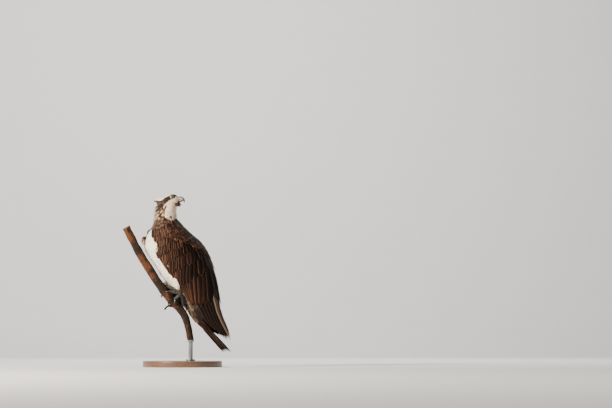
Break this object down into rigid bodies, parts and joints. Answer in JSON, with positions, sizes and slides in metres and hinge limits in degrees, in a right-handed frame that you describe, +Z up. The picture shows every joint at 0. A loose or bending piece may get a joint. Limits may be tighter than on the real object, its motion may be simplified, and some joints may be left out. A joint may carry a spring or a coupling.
{
  "type": "perched osprey figure",
  "caption": "Life-size still osprey gripping a slanted dead branch, head turned back over its shoulder, on a round display stand.",
  "frame": {"origin": "centre of the round stand base's underside", "axes": "+Z up along the stand rod; the bird's breast faces -X and turns about 20 degrees towards -Y, its head looks to +X"},
  "size_m": [0.3561, 0.26, 0.5686],
  "materials": {
    "base_wood": "satin dark stained hardwood",
    "rod_steel": "satin steel",
    "bark": "weathered dead bark, grey-brown to orange-brown",
    "body_plumage": "soft white breast and thigh feathers",
    "neck_plumage": "cream throat with a streaked tan nape",
    "head_plumage": "white crown and cheeks with a dark brown eye stripe",
    "eye": "yellow iris, black pupil, wet cornea",
    "bill": "dark horn with a blue-grey cere",
    "wing_plumage": "dark brown feathers with pale tan edges",
    "tail_plumage": "dark brown tail feathers and grey-brown undertail coverts",
    "foot_skin": "grey scaled skin with black claws"
  },
  "bodies": {
    "root": {"stand_base": "base_wood", "stand_rod": "rod_steel", "perch": "bark", "torso": "body_plumage", "neck": "neck_plumage", "head": "head_plumage", "eye_left": "eye", "eye_right": "eye", "bill_upper": "bill", "bill_lower": "bill", "wing_left": "wing_plumage", "wing_right": "wing_plumage", "tail": "tail_plumage", "thigh_left": "body_plumage", "thigh_right": "body_plumage", "foot_left": "foot_skin", "foot_right": "foot_skin"}
  },
  "joints": []
}
